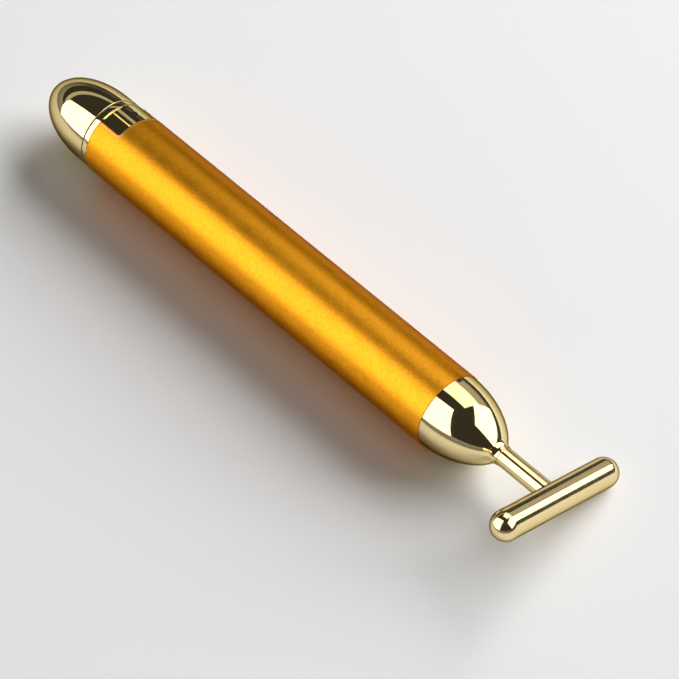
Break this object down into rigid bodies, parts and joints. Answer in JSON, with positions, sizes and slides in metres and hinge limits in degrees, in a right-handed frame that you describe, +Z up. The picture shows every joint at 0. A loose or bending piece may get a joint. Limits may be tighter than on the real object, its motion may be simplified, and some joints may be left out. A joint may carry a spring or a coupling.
{
  "type": "vibrating beauty bar",
  "caption": "Slim gold handle tube with a polished T-shaped head, a twist switch ring with a tongue in the tube's notch, a screw-off battery cap and a vibrating motor inside.",
  "frame": {"origin": "under the middle of the bar, on the surface that it lies on", "axes": "+X along the tube from the battery cap to the head, +Z up; the bar lies on its tube and on the +Y end of its crossbar"},
  "size_m": [0.1492, 0.031, 0.0165],
  "materials": {
    "gold_anodised": "satin gold anodised",
    "gold_polished": "polished pale gold plating",
    "seal_rubber": "matt black",
    "plain_steel": "plain",
    "plated_steel": "bright nickel plated",
    "black_moulding": "moulded",
    "white_moulding": "moulded",
    "sintered_bronze": "oiled sintered bronze",
    "contact_brass": "plain",
    "ferrite": "pressed ferrite",
    "battery_wrap": "plain shrink jacket",
    "red_wire": "wire insulation",
    "black_wire": "wire insulation",
    "dot_enamel": "filled enamel",
    "copper_winding": "enamelled copper",
    "weight_metal": "sintered weight"
  },
  "bodies": {
    "handle": {"handle_tube": "gold_anodised", "nose_cone": "gold_polished", "nose_seal": "seal_rubber", "head_stem": "gold_polished", "head_crossbar": "gold_polished", "stem_nut": "plain_steel", "stem_washer": "plain_steel", "motor_cradle": "black_moulding", "motor_can": "plated_steel", "motor_end_cap": "white_moulding", "motor_front_bush": "sintered_bronze", "motor_rear_bush": "sintered_bronze", "motor_terminals": "contact_brass", "motor_magnets": "ferrite", "battery_can": "plated_steel", "battery_end_plate": "plated_steel", "battery_grommet": "white_moulding", "battery_jacket": "battery_wrap", "contact_carrier": "black_moulding", "positive_contact": "contact_brass", "earth_ring": "contact_brass", "positive_lead": "red_wire", "negative_lead": "black_wire", "switch_pad": "contact_brass"},
    "switch": {"switch_ring": "gold_polished", "index_dot": "dot_enamel", "snap_ring": "plain_steel", "switch_wiper": "contact_brass"},
    "cap": {"battery_cap": "gold_polished", "cap_seal": "seal_rubber", "battery_spring": "plated_steel", "spring_plate": "plated_steel", "spring_rivet": "plated_steel"},
    "rotor": {"motor_shaft": "plain_steel", "rotor_core": "plain_steel", "rotor_windings": "copper_winding", "commutator": "contact_brass", "eccentric_weight": "weight_metal"}
  },
  "joints": [
    {"name": "switch_twist", "type": "hinge", "parent": "handle", "child": "switch", "pos_m": [-0.0556, 0, 0.00825], "axis": [1, 0, 0], "range_deg": [0, 22]},
    {"name": "cap_off", "type": "slide", "parent": "switch", "child": "cap", "axis": [-1, 0, 0], "range_m": [0, 0.03]},
    {"name": "rotor_spin", "type": "hinge", "parent": "handle", "child": "rotor", "pos_m": [0.03, 0, 0.00825], "axis": [1, 0, 0], "continuous": true}
  ]
}
